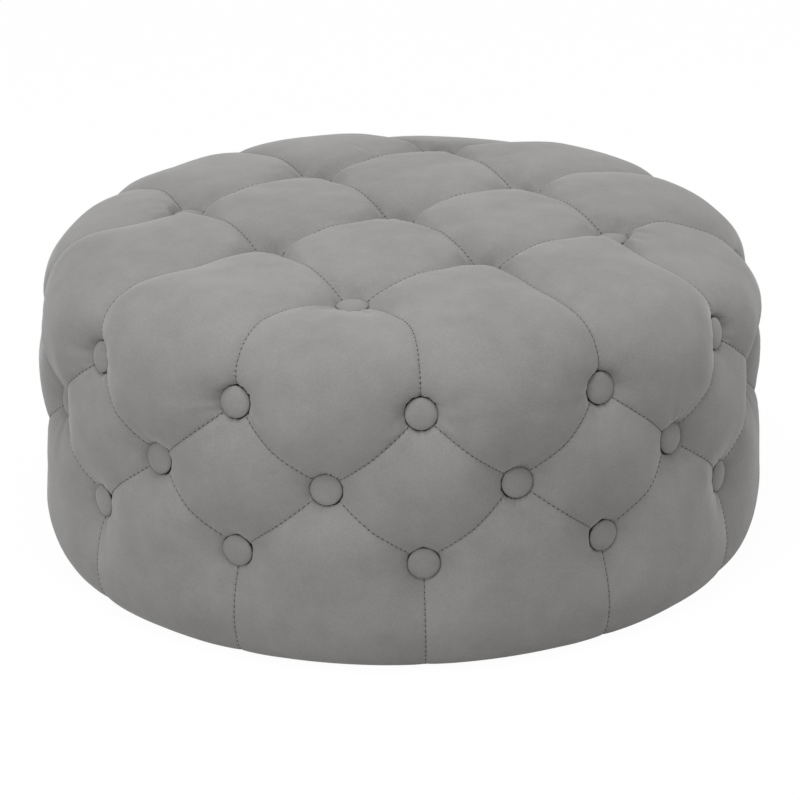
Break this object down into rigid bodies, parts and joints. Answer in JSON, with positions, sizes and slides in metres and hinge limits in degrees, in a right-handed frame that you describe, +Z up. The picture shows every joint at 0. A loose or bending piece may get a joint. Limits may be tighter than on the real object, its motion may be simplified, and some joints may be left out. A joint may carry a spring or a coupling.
{
  "type": "pouf",
  "caption": "Low round velvet pouf, deeply buttoned in diamonds on its side and in a square grid on its top, on small hidden glides.",
  "frame": {"origin": "on the floor, under the centre of the pouf", "axes": "+Z up; X and Y along the square grid of the top buttons"},
  "size_m": [0.7198, 0.7198, 0.3359],
  "materials": {
    "velvet": "dense grey velvet, short pile, soft sheen",
    "foam": "cut polyurethane foam, matt",
    "hardboard": "brown hardboard, smooth",
    "plywood": "sanded plywood, unfinished",
    "pine": "planed pine, unfinished",
    "twine": "waxed tufting twine",
    "toggle_wood": "cut wood, unfinished",
    "dust_cloth": "black spun-bonded cloth, matt",
    "glide_plastic": "moulded plastic, matt"
  },
  "bodies": {
    "root": {"tufted_cover": "velvet", "side_foam": "foam", "top_foam": "foam", "wall_panel": "hardboard", "top_board": "plywood", "base_ring": "plywood", "frame_posts": "pine", "lower_row_buttons": "velvet", "middle_row_buttons": "velvet", "upper_row_buttons": "velvet", "top_buttons": "velvet", "lower_row_twines": "twine", "middle_row_twines": "twine", "upper_row_twines": "twine", "top_twines": "twine", "lower_row_toggles": "toggle_wood", "middle_row_toggles": "toggle_wood", "upper_row_toggles": "toggle_wood", "top_toggles": "toggle_wood", "dust_cover": "dust_cloth", "glides": "glide_plastic"}
  },
  "joints": []
}
